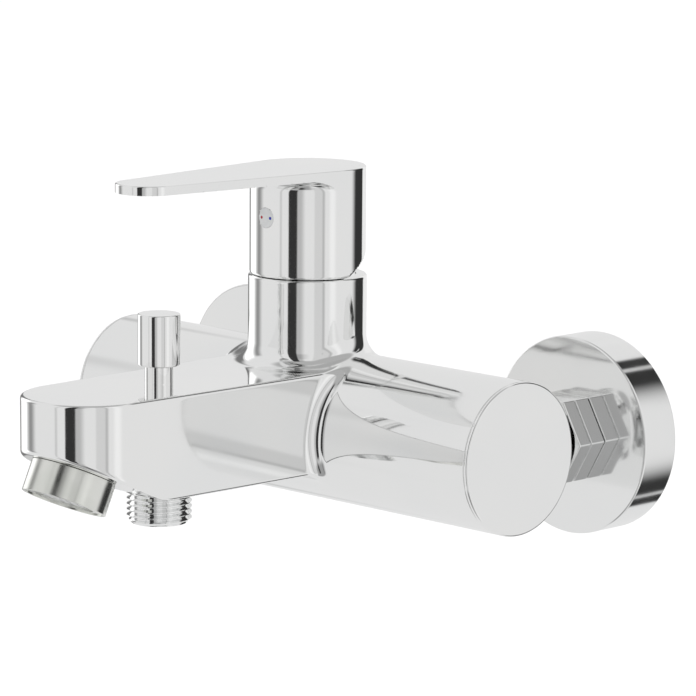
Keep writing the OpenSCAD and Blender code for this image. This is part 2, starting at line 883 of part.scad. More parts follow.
body_casting();
end_cap_left();
end_cap_right();
end_cap_seals();
inlet_tail_left();
inlet_tail_right();
union_nut_left();
union_nut_right();
union_washers();
inlet_strainers();
inlet_check_valves();
wall_union_left();
wall_union_right();
rosette_left();
rosette_right();
cartridge_gasket();
cartridge_base();
fixed_ceramic_disc();
cartridge_housing();
cartridge_nut();
trim_dome();
moving_ceramic_disc();
disc_carrier();
cartridge_turret();
pivot_pin();
cartridge_stem();
handle_lever();
handle_screw();
indicator_cap();
hot_dot();
cold_dot();
aerator_housing();
aerator_insert();
aerator_screen();
aerator_gasket();
diverter_guide();
guide_seal();
diverter_knob();
knob_screw();
diverter_rod();
diverter_valve();
valve_seals();
valve_nut();
diverter_spring();
shower_outlet();
outlet_seal();
outlet_check_valve();
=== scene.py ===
import json
import math

import bpy
import numpy as np
from mathutils import Matrix, Vector


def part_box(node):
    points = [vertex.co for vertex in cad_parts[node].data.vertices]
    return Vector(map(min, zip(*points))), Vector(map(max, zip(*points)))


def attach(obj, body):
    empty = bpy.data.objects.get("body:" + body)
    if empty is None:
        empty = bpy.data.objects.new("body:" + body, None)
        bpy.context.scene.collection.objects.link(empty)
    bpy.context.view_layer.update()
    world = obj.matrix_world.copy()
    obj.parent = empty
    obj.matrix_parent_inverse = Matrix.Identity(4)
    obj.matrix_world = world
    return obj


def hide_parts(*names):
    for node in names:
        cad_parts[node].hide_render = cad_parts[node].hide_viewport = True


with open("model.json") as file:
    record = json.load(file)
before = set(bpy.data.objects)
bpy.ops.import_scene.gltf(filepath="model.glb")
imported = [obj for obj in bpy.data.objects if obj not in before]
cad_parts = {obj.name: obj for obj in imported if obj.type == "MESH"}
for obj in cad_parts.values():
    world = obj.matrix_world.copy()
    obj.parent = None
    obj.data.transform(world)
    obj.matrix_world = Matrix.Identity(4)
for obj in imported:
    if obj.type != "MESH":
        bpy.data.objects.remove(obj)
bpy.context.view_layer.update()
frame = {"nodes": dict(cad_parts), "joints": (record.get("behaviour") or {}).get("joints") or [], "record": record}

# Wall mounted bath faucet in polished chrome. Sizes are in millimetres until a mesh is made.
# +X runs along the body, +Y into the wall, +Z up, as in the CAD frame.

MM = 0.001
SIDES = (("left", -1), ("right", 1))


# ---------- sizes from the frame


def box_mm(node):
    """Lowest and highest corner of a CAD node, in millimetres."""
    low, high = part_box(node)
    return np.array(low) / MM, np.array(high) / MM


def joint_origin(name):
    """Where a joint's axis passes, in millimetres."""
    joint = next(j for j in frame["joints"] if j["name"] == name)
    return np.array(joint["pos_m"]) / MM


casting_low, casting_high = box_mm("body_casting")
cap_low, cap_high = box_mm("end_cap_right")
lever_low, lever_high = box_mm("handle_lever")
knob_low, knob_high = box_mm("diverter_knob")
outlet_low, outlet_high = box_mm("shower_outlet")
rosette_low, rosette_high = box_mm("rosette_right")
nut_low, nut_high = box_mm("union_nut_right")
union_low, union_high = box_mm("wall_union_right")
rod_low, rod_high = box_mm("diverter_rod")
dome_low, dome_high = box_mm("trim_dome")
neck_y = joint_origin("handle_turn")[1]

# Body tube and end caps
tube_r = (cap_high[2] - cap_low[2]) / 2
tube_y = (cap_high[1] + cap_low[1]) / 2
tube_end = casting_high[0]
cap_end = cap_high[0]
chamber_r = tube_r - 3.5
chamber_start = 16
cap_spigot_r = chamber_r - 0.05
cap_spigot_end = cap_low[0]
cap_seal_r = 0.9
cap_edge = 0.8
joint_edge = 0.3
tube_fillet = 5

# Handle and neck
handle_r = lever_high[1] - neck_y
handle_bottom = lever_low[2]
handle_top = lever_high[2]
plate_bottom = handle_top - 3
under_fillet = 4
tip_r = 10.7
tip_y = lever_low[1] + tip_r
handle_bore_r = 16.6
handle_roof = plate_bottom - 0.5
hub_r = 8.5
hub_bottom = 59
stem_high = box_mm("cartridge_stem")[1]
indicator_low, indicator_high = box_mm("indicator_cap")
indicator_r = (indicator_high[0] - indicator_low[0]) / 2 + 0.05
screw_z = (indicator_low[2] + indicator_high[2]) / 2
screw_r = 2.5
screw_boss_r = 5
relief_angle = math.radians(28)
relief_edge = 0.4
barrel_edge = 0.7
plate_edge = 0.45
socket_half_depth = 3.6
neck_r = handle_r + 0.45
neck_top = casting_high[2] + 0.3
neck_fillet = 6.5
neck_rim = 0.8
seat_low = box_mm("cartridge_gasket")[0][2]
seat_r = 14.05
mouth_r = 16
mouth_z = 40

# Spout
nose_r = 21.8
nose_y = casting_low[1] + nose_r
taper = math.radians(1.6)
spout_top = 21.3
spout_bottom = -11.9
slope_y = -144.8
slope = math.radians(25.2)
spout_top_edge = 1.2
spout_bottom_edge = 1.3
slope_edge = 1.5
spout_wall = 3.5
cavity_top = spout_top - spout_wall

# Diverter and shower outlet
diverter_y = (knob_low[1] + knob_high[1]) / 2
knob_r = (knob_high[0] - knob_low[0]) / 2
outlet_r = (outlet_high[0] - outlet_low[0]) / 2
rod_r = 2.5
collar_r = (rod_high[0] - rod_low[0]) / 2
seals_high = box_mm("valve_seals")[1]
spring_low = box_mm("diverter_spring")[0]
spring_gap = 0.05
boss_r = 4.6
boss_top = knob_low[2] + 0.8
boss_edge = 0.3
knob_recess_r = boss_r + 0.2
knob_recess_top = knob_low[2] + 1
knob_screw_z = knob_low[2] + 6
knob_screw_r = 1.5
divert_chamber_r = 10.5
lower_seat_z = outlet_high[2]
web_z = 8.5
web_top = 10.5
guide_r = 6.5
guide_low, guide_high = box_mm("diverter_guide")
guide_boss_r = 8.6
spigot_r = 9.6
outlet_bore_r = 7
outlet_seal_depth = 8.5
outlet_seal_r = 0.9

# Trim dome
dome_hole_r = 10.1
dome_knee_r = 13.6
dome_knee_z = 51.5
dome_shoulder_z = 50
dome_inner_z = 51

# Aerator, whose axis leaves the middle of the sloping underside at right angles
aerator_low, aerator_high = box_mm("aerator_housing")
aerator_r = (aerator_high[0] - aerator_low[0]) / 2
aerator_length = 10.4
aerator_along = 21.3
aerator_thread_r = 11.9
aerator_thread_length = 6
aerator_bore_r = 10.6
aerator_lip_r = 9.6
aerator_lip = 1.2
aerator_rim = 1.1
aerator_feed_r = 10
aerator_centre = np.array([
    0, slope_y - aerator_along * math.cos(slope), spout_bottom + aerator_along * math.sin(slope)])
aerator_axis = np.array([0, -math.sin(slope), -math.cos(slope)])

# Connection at the wall
inlet_x = (rosette_low[0] + rosette_high[0]) / 2
rosette_r = (rosette_high[0] - rosette_low[0]) / 2
rosette_depth = -rosette_low[1]
rosette_wall = 1.6
inlet_boss_r = 12
inlet_fillet = 2
inlet_boss_y = casting_high[1]
union_thread_r = 11.45
union_bore_r = 7.5
union_hexagon = 26
nut_width = nut_high[2] - nut_low[2]
nut_bore_r = union_thread_r + 0.05
nut_neck_r = 9.75
nut_flange = 26
nut_groove = 21.7
nut_groove_width = 0.6
nut_groove_depth = 0.7
union_hexagon_y = -7
union_r = 10.4775
rosette_hole_r = union_thread_r + 0.1
tail_r = 9.6
tail_bore_r = 6.8
pipe_pitch = 1.814

# Passages between the inlets, the cartridge, the diverter and the aerator
port_x = 6.5
port_back = 4
port_r = 2.8
port_bottom = 4
cross_z = 6
mixed_port_front = 6.5
mixed_port_r = 3.6
mixed_port_bottom = 2
mixed_bore_r = 5
mixed_bore_z = 4
mixed_room_back = -86
mixed_room_front = -114.5
link_r = 4.5
link_z = 2
feed_r = 3.3
feed_z = 14
throat_depth = 17.5

# Grid of the surfaces that are found from a distance formula, and the triangles they may have
CELL = 0.6
KNOB_CELL = 0.25
GRID_MARGIN = 1.7
# How far a vertex may lie from its cell's middle, in cells, and how firmly it is held there
CELL_REACH = 0.55
SOFTNESS = 0.04
CASTING_TRIANGLES = 170000
HANDLE_TRIANGLES = 90000
KNOB_TRIANGLES = 40000


# ---------- surfaces from distances


def rounded_and(a, b, r):
    """Distance to what two shapes share, with their common edge rounded to radius r."""
    inside = np.minimum(-r, np.maximum(a, b))
    return inside + np.hypot(np.maximum(a + r, 0), np.maximum(b + r, 0))


def filleted_or(a, b, r):
    """Distance to two shapes together, with a fillet of radius r where they meet."""
    outside = np.maximum(r, np.minimum(a, b))
    return outside - np.hypot(np.maximum(r - a, 0), np.maximum(r - b, 0))


def joined(*shapes):
    """Distance to several shapes together, with sharp inside corners."""
    return np.minimum.reduce(shapes)


def between(value, low, high):
    """Distance to the slab between two planes."""
    return np.maximum(low - value, value - high)


def cylinder(u, v, w, r, w0, w1):
    """Distance to a cylinder of radius r around the w axis, from w0 to w1."""
    return np.maximum(np.hypot(u, v) - r, between(w, w0, w1))


def tapered_plan(x, y, middle_y, nose, lean):
    """Distance to an outline with a round nose, whose straight sides open towards +Y."""
    u = np.abs(x)
    v = y - middle_y
    along = u * math.sin(lean) + v * math.cos(lean)
    beside = u * math.cos(lean) - v * math.sin(lean)
    return np.where(along < 0, np.hypot(u, v), beside) - nose


def gradient_of(distance, points):
    """Unit vector in which the distance grows fastest, at each point."""
    step = 0.02
    corners = np.array([[1, -1, -1], [-1, -1, 1], [-1, 1, -1], [1, 1, 1]], float)
    total = sum(c * distance(points + c * step)[:, None] for c in corners)
    return total / np.maximum(np.linalg.norm(total, axis=1), 1e-12)[:, None]


def sampled_grid(distance, low, high, cell):
    """Grid of distances near the surface, and which of its corners were sampled."""
    block = 4
    blocks = np.ceil((high - low) / (cell * block)).astype(int)
    shape = tuple(blocks * block + 1)
    middle = [low[i] + (np.arange(blocks[i]) + 0.5) * cell * block for i in range(3)]
    centres = np.stack(np.meshgrid(*middle, indexing="ij"), -1).reshape(-1, 3)
    near = np.abs(distance(centres)) < cell * block * 1.3
    index = np.stack(np.unravel_index(np.flatnonzero(near), tuple(blocks)), -1) * block
    values = np.full(shape, np.nan)
    known = np.zeros(shape, bool)
    for offset in np.ndindex(block + 1, block + 1, block + 1):
        i, j, k = (index + offset).T
        known[i, j, k] = True
    where = np.stack(np.nonzero(known), -1)
    values[known] = distance(low + where * cell)
    return values, known


def crossings(values, known, axis):
    """Grid corners whose edge along the axis crosses the surface, and the distances at its ends."""
    lower = [slice(None)] * 3
    upper = [slice(None)] * 3
    lower[axis] = slice(0, -1)
    upper[axis] = slice(1, None)
    lower = tuple(lower)
    upper = tuple(upper)
    both = known[lower] & known[upper]
    changed = both & ((values[lower] < 0) != (values[upper] < 0))
    corner = np.stack(np.nonzero(changed), -1)
    return corner, values[lower][changed], values[upper][changed]


def crossing_points(distance, start, along, first, second):
    """Where the surface cuts each grid edge, found from the distances at the edge's ends."""
    share = first / (first - second)
    for _ in range(2):
        middle = distance(start + share[:, None] * along)
        same = (middle < 0) == (first < 0)
        spread = np.where(same, 1 - share, share)
        other = np.where(same, second, first)
        move = spread * middle / np.where(middle == other, 1, middle - other)
        share = np.clip(share + np.where(same, move, -move), 0, 1)
    return start + share[:, None] * along


def contour(distance, low, high, cell):
    """Vertices and quads of a surface, with vertices drawn onto its sharp edges."""
    values, known = sampled_grid(distance, low, high, cell)
    shape = np.array(values.shape)
    quads = []
    matrix_parts = []
    for axis in range(3):
        corner, first, second = crossings(values, known, axis)
        along = np.zeros(3)
        along[axis] = cell
        hit = crossing_points(distance, low + corner * cell, along, first, second)
        facing = gradient_of(distance, hit)
        u, v = (axis + 1) % 3, (axis + 2) % 3
        around = []
        for du, dv in ((-1, -1), (0, -1), (0, 0), (-1, 0)):
            cell_corner = corner.copy()
            cell_corner[:, u] += du
            cell_corner[:, v] += dv
            around.append(np.ravel_multi_index(cell_corner.T, shape, mode="clip"))
            matrix_parts.append((around[-1], hit, facing))
        loop = np.stack(around, -1)
        loop[first > 0] = loop[first > 0][:, ::-1]
        quads.append(loop)
    cells, quads = np.unique(np.concatenate(quads), return_inverse=True)
    return cell_vertices(distance, cells, matrix_parts, low, cell, shape), quads.reshape(-1, 4)


def cell_vertices(distance, cells, parts, low, cell, shape):
    """The point of each cell that lies best on the planes through its crossings."""
    slot = np.searchsorted(cells, np.concatenate([p[0] for p in parts]))
    hit = np.concatenate([p[1] for p in parts])
    facing = np.concatenate([p[2] for p in parts])
    count = np.bincount(slot, minlength=len(cells))
    mean = np.stack([np.bincount(slot, hit[:, i], len(cells)) for i in range(3)], -1)
    mean /= count[:, None]
    offset = ((hit - mean[slot]) * facing).sum(1)
    normal_matrix = np.zeros((len(cells), 3, 3))
    right_side = np.zeros((len(cells), 3))
    for i in range(3):
        right_side[:, i] = np.bincount(slot, facing[:, i] * offset, len(cells))
        for j in range(3):
            normal_matrix[:, i, j] = np.bincount(slot, facing[:, i] * facing[:, j], len(cells))
    softness = SOFTNESS * count[:, None, None] * np.eye(3)
    shift = np.linalg.solve(normal_matrix + softness, right_side[:, :, None])[:, :, 0]
    centre = low + (np.stack(np.unravel_index(cells, shape), -1) + 0.5) * cell
    points = centre + np.clip(mean + shift - centre, -CELL_REACH * cell, CELL_REACH * cell)
    for _ in range(3):
        points = points - gradient_of(distance, points) * distance(points)[:, None]
    return points


def thinned(distance, points, quads, most):
    """The same surface in about so many triangles, which are larger where it is flat."""
    if most >= 2 * len(quads):
        return points, quads
    rough = bpy.data.meshes.new("rough")
    rough.from_pydata(points.tolist(), [], quads.tolist())
    holder = bpy.data.objects.new("rough", rough)
    bpy.context.scene.collection.objects.link(holder)
    holder.modifiers.new("fewer", "DECIMATE").ratio = most / (2 * len(quads))
    holder = holder.evaluated_get(bpy.context.evaluated_depsgraph_get())
    result = holder.to_mesh()
    result.calc_loop_triangles()
    points = np.empty(len(result.vertices) * 3)
    result.vertices.foreach_get("co", points)
    faces = np.empty(len(result.loop_triangles) * 3, int)
    result.loop_triangles.foreach_get("vertices", faces)
    bpy.data.objects.remove(holder.original)
    bpy.data.meshes.remove(rough)
    points = points.reshape(-1, 3)
    for _ in range(2):
        points = points - gradient_of(distance, points) * distance(points)[:, None]
    return points, faces.reshape(-1, 3)


def corner_normals(distance, points, faces):
    """Normal at each corner of each face: smooth, apart from where the surface has an edge."""
    facing = gradient_of(distance, points)
    corner_of = faces.reshape(-1)
    middle = np.repeat(points[faces].mean(1), faces.shape[1], axis=0)
    normals = facing[corner_of]
    probe = 0.7 * points[corner_of] + 0.3 * middle
    aside = gradient_of(distance, probe)
    turned = (aside * normals).sum(1) < math.cos(math.radians(20))
    edge = np.zeros(len(points), bool)
    edge[corner_of[turned]] = True
    picked = edge[corner_of]
    normals[picked] = aside[picked]
    return normals


# ---------- meshes


def add_mesh(name, points, faces, normals, material):
    """A mesh object from millimetre points, faces, and one normal for each face corner."""
    mesh = bpy.data.meshes.new(name)
    mesh.from_pydata((np.asarray(points) * MM).tolist(), [], [list(map(int, f)) for f in faces])
    mesh.polygons.foreach_set("use_smooth", np.ones(len(mesh.polygons), bool))
    mesh.materials.append(material)
    mesh.update()
    if normals is not None:
        mesh.normals_split_custom_set(np.asarray(normals).tolist())
    piece = bpy.data.objects.new(name, mesh)
    bpy.context.scene.collection.objects.link(piece)
    return piece


def add_contour(name, distance, low, high, cell, most, material):
    """A mesh object of the surface inside the box where the distance is nought."""
    margin = GRID_MARGIN * cell
    rough = contour(distance, low - margin, high + margin, cell)
    points, faces = thinned(distance, *rough, most)
    return add_mesh(name, points, faces, corner_normals(distance, points, faces), material)


# ---------- turned pieces
#
# A turned piece is a list of rings around its axis, each of which ends where it began. A stretch
# joins two rings, and gives the normals along both of them. Points in one place become one vertex.


def frame_at(origin, axis):
    """Rotation and origin of a turned piece whose axis points along axis."""
    axis = np.array(axis, float) / np.linalg.norm(axis)
    side = np.array([1.0, 0, 0]) if abs(axis[0]) < 0.9 else np.array([0, 1.0, 0])
    side -= axis * (side @ axis)
    side /= np.linalg.norm(side)
    return np.stack([side, np.cross(axis, side), axis], -1), np.array(origin, float)


class Round:
    """Cross-section of a turned piece: a circle."""

    def __init__(self, around=160):
        turns = np.arange(around + 1) * 2 * math.pi / around
        self.facing = np.stack([np.cos(turns), np.sin(turns)], -1)

    def points(self, r):
        return r * self.facing


class Hexagon:
    """Cross-section of a nut: a hexagon with rounded corners, of apothem r."""

    def __init__(self, size, corner_r=0.7, arc_steps=6, side_steps=10):
        self.corner_r = corner_r
        reach = []
        facing = []
        for i in range(6):
            corner, following = (
                np.array([math.cos(t), math.sin(t)]) / math.cos(math.pi / 6)
                for t in (i * math.pi / 3, (i + 1) * math.pi / 3))
            for k in range(arc_steps + 1):
                turn = (i + k / arc_steps - 0.5) * math.pi / 3
                reach.append(corner)
                facing.append((math.cos(turn), math.sin(turn)))
            for k in range(1, side_steps):
                reach.append(corner + (following - corner) * k / side_steps)
                facing.append(facing[-1])
        self.reach = np.array(reach + reach[:1])
        self.facing = np.array(facing + facing[:1])
        outline = self.points(size)
        self.round = Round()
        self.round.facing = outline / np.linalg.norm(outline, axis=1)[:, None]

    def points(self, r):
        return r * self.reach + self.corner_r * (self.facing - self.reach)


def lifted(flat, h):
    """Points or vectors of the cross-section plane, given their part along the axis."""
    return np.column_stack([flat, np.full(len(flat), h)])


def arc_points(before, here, after, fillet, steps=5):
    """Points of the arc that rounds a corner, each with the outward normal there."""
    back = (before - here) / np.linalg.norm(before - here)
    on = (after - here) / np.linalg.norm(after - here)
    half = math.acos(np.clip(back @ on, -1, 1)) / 2
    centre = here + (back + on) / np.linalg.norm(back + on) * fillet / math.sin(half)
    start = here + back * fillet / math.tan(half) - centre
    stop = here + on * fillet / math.tan(half) - centre
    outward = -1 if back[0] * on[1] - back[1] * on[0] > 0 else 1
    sweep = math.pi - 2 * half
    result = []
    for k in range(steps + 1):
        share = k / steps
        arm = (start * math.sin((1 - share) * sweep) + stop * math.sin(share * sweep))
        arm /= math.sin(sweep)
        result.append((centre + arm, outward * arm / fillet))
    return result


# Height of a screw thread's ridge over one pitch
THREAD_PLACES = (0, 0.06, 0.25, 0.44, 0.56, 0.75, 0.94, 1)
THREAD_HEIGHTS = (0, 0, 0.5, 1, 1, 0.5, 0, 0)
# Length over which it fades at its fixed end, in pitches
THREAD_RUN_OUT = 0.7


class Turned:
    """Collects the rings and stretches of one turned piece."""

    def __init__(self, section):
        self.section = section
        self.rings = []
        self.stretches = []

    def ring(self, section, r, h):
        """Adds a ring, and gives its number."""
        flat = section.points(r) if r > 0 else np.zeros_like(section.facing)
        self.rings.append(lifted(flat, h))
        return len(self.rings) - 1

    def join(self, i, j, first, second):
        """Adds the stretch between two rings, with the normals along both."""
        self.stretches.append((i, j, first, second))

    def profile(self, corners, section=None):
        """Adds the rings of a profile. Corners (r, h, fillet) run with the solid on their left."""
        section = section or self.section
        places = [np.array(c[:2], float) for c in corners]
        points = []
        for i, (place, corner) in enumerate(zip(places, corners)):
            fillet = corner[2] if len(corner) > 2 else 0
            if fillet and 0 < i < len(corners) - 1:
                points.extend(arc_points(places[i - 1], place, places[i + 1], fillet))
            else:
                points.append((place, None))
        numbers = [self.ring(section, *place) for place, _ in points]
        for k in range(len(points) - 1):
            (here, facing), (there, facing_there) = points[k], points[k + 1]
            along = there - here
            flat = np.array([along[1], -along[0]]) / np.linalg.norm(along)
            bends = (facing is not None and facing_there is not None
                     and facing @ facing_there < 0.99999
                     and facing @ flat > 0.9 and facing_there @ flat > 0.9)
            ends = (facing, facing_there) if bends else (flat, flat)
            first, second = (lifted(n[0] * section.facing, n[1]) for n in ends)
            self.join(numbers[k], numbers[k + 1], first, second)
        return numbers[0], numbers[-1]

    def bridge(self, i, j, along):
        """Joins two rings of different cross-sections by a flat face that looks along the axis."""
        facing = lifted(np.zeros_like(self.section.facing), along)
        self.join(i, j, facing, facing)

    def thread(self, crest_r, h0, h1, pitch, depth, free_end):
        """Adds a screw thread from h0 to h1, bevelled at its free end and run out at the other.

        Its rings climb by one pitch in a turn, and are cut off at h0 and h1.
        """
        facing = self.section.facing
        across = np.stack([-facing[:, 1], facing[:, 0]], -1)
        turns = np.unwrap(np.arctan2(facing[:, 1], facing[:, 0])) / (2 * math.pi)
        low = math.floor(h0 / pitch - turns.max()) - 1
        high = math.ceil(h1 / pitch - turns.min()) + 1
        rows = []
        for turn in range(low, high):
            for place in THREAD_PLACES[:-1]:
                climb = (turn + place + turns) * pitch
                h = np.clip(climb, h0, h1)
                ridge = np.interp((h / pitch - turns) % 1, THREAD_PLACES, THREAD_HEIGHTS)
                free, fixed = (h1 - h, h - h0) if free_end == "last" else (h - h0, h1 - h)
                ridge = ridge * np.clip(fixed / (THREAD_RUN_OUT * pitch), 0, 1)
                r = np.minimum(crest_r - depth + depth * ridge, crest_r - depth * 1.05 + free)
                self.rings.append(np.column_stack([facing * r[:, None], h]))
                slope = np.where(climb == h, pitch / (2 * math.pi), 0)
                rows.append((len(self.rings) - 1, r, h, slope))
        for (i, ri, hi, slope_i), (j, rj, hj, slope_j) in zip(rows, rows[1:]):
            ends = []
            for r, slope in ((ri, slope_i), (rj, slope_j)):
                flat = facing * (r * (hj - hi))[:, None] + across * (slope * (rj - ri))[:, None]
                normal = np.column_stack([flat, -r * (rj - ri)])
                ends.append(normal / np.maximum(np.linalg.norm(normal, axis=1), 1e-9)[:, None])
            self.join(i, j, *ends)
        return rows[0][0], rows[-1][0]

    def piece(self, name, origin, axis, material):
        """Makes the object."""
        points = np.concatenate(self.rings)
        places = np.round(points * 1e4).astype(np.int64)
        _, kept, number = np.unique(places, axis=0, return_index=True, return_inverse=True)
        number = number.reshape(-1)
        length = len(self.section.facing)
        here = np.arange(length - 1)
        faces = []
        normals = []
        for i, j, ni, nj in self.stretches:
            first, second = i * length + here, j * length + here
            faces.append(np.stack([first, first + 1, second + 1, second], -1))
            normals.append(np.stack([ni[:-1], ni[1:], nj[1:], nj[:-1]], 1))
        faces = number[np.concatenate(faces)]
        normals = np.concatenate(normals)
        apart = faces != np.roll(faces, -1, axis=1)
        solid = apart.sum(1) >= 3
        solid &= (faces[:, 0] != faces[:, 2]) & (faces[:, 1] != faces[:, 3])
        corners = [face[keep] for face, keep in zip(faces[solid], apart[solid])]
        facings = normals[solid][apart[solid]]
        turn, middle = frame_at(origin, axis)
        return add_mesh(
            name, points[kept] @ turn.T + middle, corners, facings @ turn.T, material)


# ---------- materials


def new_material(name, base, metallic, roughness):
    """A material with its shader, and the tools to add nodes to it."""
    material = bpy.data.materials.new(name)
    material.use_nodes = True
    tree = material.node_tree
    shader = tree.nodes["Principled BSDF"]
    shader.inputs["Base Color"].default_value = (*base, 1)
    shader.inputs["Metallic"].default_value = metallic
    shader.inputs["Roughness"].default_value = roughness
    return material, tree, shader


def object_noise(tree, scale, detail):
    """Noise that is fixed to the object, with so many waves to a metre."""
    place = tree.nodes.new("ShaderNodeTexCoord")
    noise = tree.nodes.new("ShaderNodeTexNoise")
    noise.inputs["Scale"].default_value = scale
    noise.inputs["Detail"].default_value = detail
    tree.links.new(place.outputs["Object"], noise.inputs["Vector"])
    return noise.outputs["Fac"]


def ranged(tree, value, low, high, from_low=0.35, from_high=0.65):
    """The value spread from low to high."""
    spread = tree.nodes.new("ShaderNodeMapRange")
    spread.inputs["From Min"].default_value = from_low
    spread.inputs["From Max"].default_value = from_high
    spread.inputs["To Min"].default_value = low
    spread.inputs["To Max"].default_value = high
    tree.links.new(value, spread.inputs["Value"])
    return spread.outputs["Result"]


def bumped(tree, shader, value, strength, height):
    """Bends the shader's normal by a height pattern."""
    bump = tree.nodes.new("ShaderNodeBump")
    bump.inputs["Strength"].default_value = strength
    bump.inputs["Distance"].default_value = height
    tree.links.new(value, bump.inputs["Height"])
    tree.links.new(bump.outputs["Normal"], shader.inputs["Normal"])


def tinted(tree, shader, value, first, second):
    """Colours that wander between two close shades."""
    ramp = tree.nodes.new("ShaderNodeValToRGB")
    ramp.color_ramp.elements[0].position = 0.35
    ramp.color_ramp.elements[0].color = (*first, 1)
    ramp.color_ramp.elements[1].position = 0.65
    ramp.color_ramp.elements[1].color = (*second, 1)
    tree.links.new(value, ramp.inputs["Fac"])
    tree.links.new(ramp.outputs["Color"], shader.inputs["Base Color"])


def chrome_material(name, low, high):
    """Chrome plate: a mirror with the soft haze and the faint wipe marks of a handled surface."""
    material, tree, shader = new_material(name, (0.9, 0.9, 0.9), 1, low)
    haze = object_noise(tree, 60, 3)
    tree.links.new(ranged(tree, haze, low, high), shader.inputs["Roughness"])
    tinted(tree, shader, object_noise(tree, 25, 2), (0.895, 0.9, 0.9), (0.915, 0.915, 0.91))
    return material


def aerator_material():
    """Satin plating of the aerator, a little greyer than the body's chrome."""
    material, tree, shader = new_material("aerator_chrome", (0.8, 0.81, 0.77), 1, 0.25)
    tinted(tree, shader, object_noise(tree, 90, 2), (0.76, 0.77, 0.73), (0.84, 0.84, 0.81))
    tree.links.new(ranged(tree, object_noise(tree, 120, 3), 0.16, 0.22), shader.inputs["Roughness"])
    return material


def turned_metal(name, first, second, roughness):
    """Machined metal with fine tool marks."""
    material, tree, shader = new_material(name, first, 1, roughness)
    tinted(tree, shader, object_noise(tree, 150, 3), first, second)
    marks = object_noise(tree, 2500, 2)
    tree.links.new(
        ranged(tree, marks, roughness * 0.7, roughness * 1.4), shader.inputs["Roughness"])
    bumped(tree, shader, marks, 0.25, 0.00002)
    return material


def moulded(name, first, second, roughness, grain):
    """Moulded plastic, rubber or fibre with a fine grain."""
    material, tree, shader = new_material(name, first, 0, roughness)
    tinted(tree, shader, object_noise(tree, 200, 3), first, second)
    pattern = object_noise(tree, grain, 2)
    tree.links.new(
        ranged(tree, pattern, roughness * 0.85, roughness * 1.15), shader.inputs["Roughness"])
    bumped(tree, shader, pattern, 0.3, 0.00003)
    return material


def make_materials():
    """Every finish, by the record's slot name."""
    return {
        "chrome": chrome_material("polished_chrome", 0.05, 0.08),
        "aerator_chrome": aerator_material(),
        "brass": turned_metal("brass", (0.72, 0.56, 0.27), (0.79, 0.63, 0.33), 0.28),
        "steel": turned_metal("steel", (0.56, 0.57, 0.58), (0.66, 0.66, 0.67), 0.25),
        "rubber": moulded("rubber", (0.018, 0.018, 0.019), (0.032, 0.032, 0.032), 0.62, 1500),
        "fibre": moulded("fibre", (0.16, 0.06, 0.04), (0.24, 0.09, 0.06), 0.75, 3000),
        "cartridge_plastic": moulded(
            "cartridge_plastic", (0.72, 0.71, 0.67), (0.8, 0.79, 0.75), 0.42, 1800),
        "ceramic": moulded("ceramic", (0.83, 0.82, 0.78), (0.9, 0.89, 0.86), 0.16, 4000),
        "insert_plastic": moulded(
            "insert_plastic", (0.6, 0.61, 0.61), (0.7, 0.7, 0.69), 0.38, 2200),
        "cap_plastic": moulded("cap_plastic", (0.78, 0.79, 0.8), (0.85, 0.86, 0.86), 0.22, 3000),
        "red_mark": moulded("red_mark", (0.42, 0.01, 0.02), (0.5, 0.015, 0.03), 0.3, 5000),
        "blue_mark": moulded("blue_mark", (0.01, 0.02, 0.4), (0.015, 0.03, 0.5), 0.3, 5000),
    }


materials = make_materials()
satin_chrome = chrome_material("satin_chrome", 0.08, 0.11)


def place(piece, body, slot, *nodes):
    """Fixes a finished piece to its body and hides the CAD nodes that it stands for. The slot is not used."""
    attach(piece, body)
    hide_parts(*nodes)
    return piece


# ---------- body casting


def casting_outside(p):
    """Tube, spout, neck and bosses, blended as one casting."""
    x, y, z = p.T
    tube = np.hypot(y - tube_y, z) - tube_r
    plan = np.maximum(tapered_plan(x, y, nose_y, nose_r, taper), y - tube_y)
    rise = (y - slope_y) * -math.sin(slope) + (z - spout_bottom) * -math.cos(slope)
    under = rounded_and(spout_bottom - z, rise, slope_edge)
    spout = np.maximum(rounded_and(plan, z - spout_top, spout_top_edge),
                       rounded_and(plan, under, spout_bottom_edge))
    neck = np.hypot(x, y - neck_y) - neck_r
    neck = rounded_and(neck, np.maximum(z - neck_top, -z), neck_rim)
    boss = np.hypot(x, y - diverter_y) - boss_r
    boss = rounded_and(boss, np.maximum(z - boss_top, -z), boss_edge)
    inlet = np.hypot(np.abs(x) - inlet_x, z) - inlet_boss_r
    inlet = np.maximum(inlet, np.maximum(y - inlet_boss_y, tube_y - y))
    whole = filleted_or(tube, spout, tube_fillet)
    whole = filleted_or(whole, neck, neck_fillet)
    whole = joined(whole, boss)
    whole = filleted_or(whole, inlet, inlet_fillet)
    return rounded_and(whole, np.abs(x) - tube_end, joint_edge)


def supply_passages(x, y, z):
    """Hot and cold chambers, their inlets, and the drillings up to the cartridge."""
    u = np.abs(x)
    chamber = cylinder(y - tube_y, z, u, chamber_r, chamber_start, tube_end + 1)
    tail = cylinder(u - inlet_x, z, y, tail_r, tube_y, inlet_boss_y + 1)
    riser = cylinder(u - port_x, y - neck_y - port_back, z, port_r, port_bottom, seat_low + 1)
    cross = cylinder(y - neck_y - port_back, z - cross_z, u, port_r, port_x, chamber_start + 1)
    return joined(chamber, tail, riser, cross)


